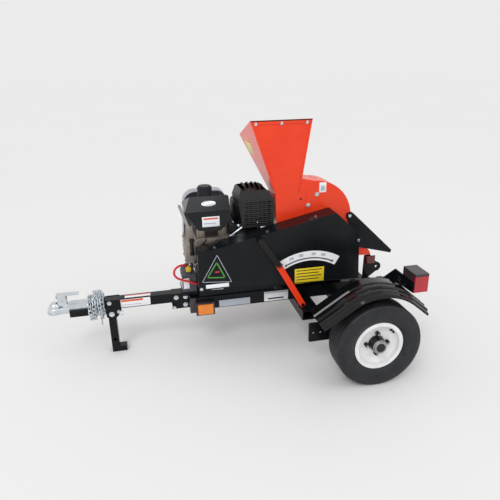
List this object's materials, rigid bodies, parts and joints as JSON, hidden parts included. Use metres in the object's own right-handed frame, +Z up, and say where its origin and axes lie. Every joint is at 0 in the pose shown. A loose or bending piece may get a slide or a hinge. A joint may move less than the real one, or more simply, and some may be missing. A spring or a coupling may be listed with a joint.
{
  "type": "wood chipper",
  "caption": "Tow-behind wood chipper: drawbar frame on two wheels, petrol engine, belt drive under a guard, rotor housing, upright feed hopper and chip deflector.",
  "frame": {"origin": "on the ground under the middle of the overall length, midway between the wheels", "axes": "+X to the rear (the drawbar points to -X), -Y is the side with the belt guard, +Z up"},
  "size_m": [1.79, 1.2342, 1.149],
  "materials": {
    "black_paint": "gloss",
    "orange_paint": "gloss",
    "white_paint": "gloss",
    "zinc": "satin zinc plate",
    "bare_steel": "machined",
    "tool_steel": "ground",
    "cast_iron": "cast",
    "cast_aluminium": "die cast",
    "grey_paint": "satin",
    "tyre_rubber": "matt",
    "rubber": "matt",
    "red_rubber": "gloss",
    "grip_vinyl": "satin",
    "black_plastic": "matt",
    "gloss_black_plastic": "gloss",
    "lamp_plastic": "gloss",
    "red_lens": "clear gloss",
    "amber_lens": "clear gloss",
    "battery_plastic": "matt",
    "heat_black": "matt heat resisting"
  },
  "bodies": {
    "frame": {"air_cleaner": "black_plastic", "axle": "black_paint", "battery": "battery_plastic", "bed_knife": "tool_steel", "belt_guard": "black_paint", "black_lead": "rubber", "blower_housing": "grey_paint", "bolts": "zinc", "coupler_body": "zinc", "drawbar": "black_paint", "drawbar_brackets": "black_paint", "drive_belt": "rubber", "engine_base": "black_paint", "engine_block": "cast_aluminium", "far_fender": "black_paint", "feed_hopper": "orange_paint", "fuel_tank": "black_paint", "guard_back_plate": "black_paint", "housing_supports": "black_paint", "lamp_housings": "lamp_plastic", "main_frame": "black_paint", "marker_lamp_lenses": "amber_lens", "muffler": "heat_black", "muffler_guard": "heat_black", "near_fender": "black_paint", "outrigger_beam": "black_paint", "recoil_starter": "grey_paint", "red_lead": "red_rubber", "rotor_housing": "orange_paint", "safety_chains": "zinc", "shaft_bearings": "cast_iron", "tail_lamp_lenses": "red_lens"},
    "near_wheel": {"near_tyre": "tyre_rubber", "near_rim": "white_paint", "near_hub": "cast_iron", "near_dust_cap": "bare_steel"},
    "far_wheel": {"far_tyre": "tyre_rubber", "far_rim": "white_paint", "far_hub": "cast_iron", "far_dust_cap": "bare_steel"},
    "rotor": {"rotor_shaft": "bare_steel", "rotor_disc": "black_paint", "chipper_knives": "tool_steel", "rotor_pulley": "cast_iron"},
    "crank": {"crankshaft": "bare_steel", "engine_pulley": "cast_iron", "flywheel": "cast_aluminium"},
    "idler_arm": {"idler_arm": "black_paint"},
    "idler_pulley": {"idler_pulley": "cast_iron"},
    "clutch_lever": {"clutch_lever": "orange_paint", "lever_grip": "grip_vinyl"},
    "deflector": {"discharge_deflector": "black_paint"},
    "coupler_latch": {"coupler_latch": "zinc"},
    "parking_stand": {"stand_leg": "black_paint"},
    "stand_pin": {"stand_pin": "zinc"},
    "drawbar_pin": {"drawbar_pin": "zinc"},
    "fuel_cap": {"fuel_cap": "black_plastic"},
    "recoil_handle": {"recoil_handle": "black_plastic"},
    "throttle_lever": {"throttle_lever": "bare_steel"},
    "hopper_flap": {"hopper_flap": "rubber"}
  },
  "joints": [
    {"name": "coupler_latch_hinge", "type": "hinge", "parent": "frame", "child": "coupler_latch", "pos_m": [-0.816, 0, 0.313], "axis": [0, -1, 0], "range_deg": [0, 35]},
    {"name": "parking_stand_hinge", "type": "hinge", "parent": "frame", "child": "parking_stand", "pos_m": [-0.588, 0, 0.222], "axis": [0, -1, 0], "range_deg": [0, 78]},
    {"name": "stand_pin_pull", "type": "slide", "parent": "frame", "child": "stand_pin", "axis": [0, -1, 0], "range_m": [0, 0.02], "stiffness_N_per_m": 400, "springref_m": -0.01},
    {"name": "drawbar_pin_pull", "type": "slide", "parent": "frame", "child": "drawbar_pin", "axis": [0, -1, 0], "range_m": [0, 0.08]},
    {"name": "near_wheel_spin", "type": "hinge", "parent": "frame", "child": "near_wheel", "pos_m": [0.592, -0.5525, 0.202], "axis": [0, 1, 0], "continuous": true},
    {"name": "far_wheel_spin", "type": "hinge", "parent": "frame", "child": "far_wheel", "pos_m": [0.592, 0.5525, 0.202], "axis": [0, 1, 0], "continuous": true},
    {"name": "rotor_spin", "type": "hinge", "parent": "frame", "child": "rotor", "pos_m": [0.455, 0, 0.628], "axis": [0, 1, 0], "continuous": true},
    {"name": "engine_spin", "type": "hinge", "parent": "frame", "child": "crank", "pos_m": [-0.048, 0, 0.48], "axis": [0, 1, 0], "continuous": true},
    {"name": "idler_arm_swing", "type": "hinge", "parent": "frame", "child": "idler_arm", "pos_m": [0.312, 0, 0.42], "axis": [0, -1, 0], "range_deg": [0, 14.5]},
    {"name": "idler_pulley_spin", "type": "hinge", "parent": "idler_arm", "child": "idler_pulley", "pos_m": [0.2254, 0, 0.47956], "axis": [0, 1, 0], "continuous": true},
    {"name": "clutch_lever_swing", "type": "hinge", "parent": "frame", "child": "clutch_lever", "pos_m": [0.36, -0.212, 0.247], "axis": [0, 1, 0], "range_deg": [0, 58]},
    {"name": "deflector_tilt", "type": "hinge", "parent": "frame", "child": "deflector", "pos_m": [0.642, 0, 0.659], "axis": [0, -1, 0], "range_deg": [0, 30]},
    {"name": "fuel_cap_turn", "type": "hinge", "parent": "frame", "child": "fuel_cap", "pos_m": [-0.084, 0, 0.812], "axis": [0, 0, 1], "range_deg": [0, 90]},
    {"name": "starter_pull", "type": "slide", "parent": "frame", "child": "recoil_handle", "axis": [-0.5299, 0, 0.848], "range_m": [0, 0.4], "stiffness_N_per_m": 10, "springref_m": -0.2},
    {"name": "throttle_swing", "type": "hinge", "parent": "frame", "child": "throttle_lever", "pos_m": [-0.178, 0, 0.648], "axis": [0, -1, 0], "range_deg": [0, 25]},
    {"name": "hopper_flap_swing", "type": "hinge", "parent": "frame", "child": "hopper_flap", "pos_m": [0.281, -0.079, 1.139], "axis": [1, 0, 0], "range_deg": [0, 70]}
  ],
  "couplings": [
    {"joint": "engine_spin", "follows": "rotor_spin", "ratio": 1.2381},
    {"joint": "idler_pulley_spin", "follows": "rotor_spin", "ratio": -1.7333},
    {"joint": "idler_arm_swing", "follows": "clutch_lever_swing", "ratio": 0.25}
  ]
}
